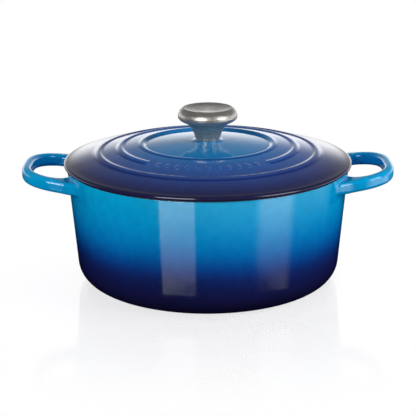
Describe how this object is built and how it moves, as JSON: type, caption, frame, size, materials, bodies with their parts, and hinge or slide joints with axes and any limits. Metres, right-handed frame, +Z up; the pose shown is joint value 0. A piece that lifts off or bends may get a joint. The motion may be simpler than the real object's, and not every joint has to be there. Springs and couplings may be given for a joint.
{
  "type": "cast iron dutch oven",
  "caption": "Round enamelled cast iron casserole with two loop handles, a domed ringed lid that lifts off and a dished steel knob.",
  "frame": {"origin": "centre of the base, on the surface the pot stands on", "axes": "+Z up, +X towards the right handle along the line of the handles, +Y towards the back"},
  "size_m": [0.349, 0.271, 0.1648],
  "materials": {
    "bare_iron": "as cast, under the enamel",
    "wall_enamel": "gloss enamel shading from azure at the rim to navy at the base",
    "handle_enamel": "cast iron in gloss azure enamel",
    "lid_enamel": "gloss enamel shading from azure at the knob to near black navy at the edge",
    "sand_enamel": "smooth sand enamel",
    "rim_enamel": "matt black enamel",
    "knob_steel": "circular brushed stainless steel",
    "fastener_steel": "turned stainless steel"
  },
  "bodies": {
    "pot": {"pot_casting": "bare_iron", "pot_exterior_enamel": "wall_enamel", "pot_interior_enamel": "sand_enamel", "pot_rim_band": "rim_enamel", "handle_left": "handle_enamel", "handle_right": "handle_enamel"},
    "lid": {"lid_casting": "bare_iron", "lid_exterior_enamel": "lid_enamel", "lid_interior_enamel": "sand_enamel", "lid_rim_band": "rim_enamel", "knob_shell": "knob_steel", "knob_insert": "fastener_steel", "knob_screw": "fastener_steel", "knob_washer": "fastener_steel"}
  },
  "joints": [
    {"name": "lid_lift", "type": "slide", "parent": "pot", "child": "lid", "axis": [0, 0, 1], "range_m": [0, 0.16]}
  ]
}
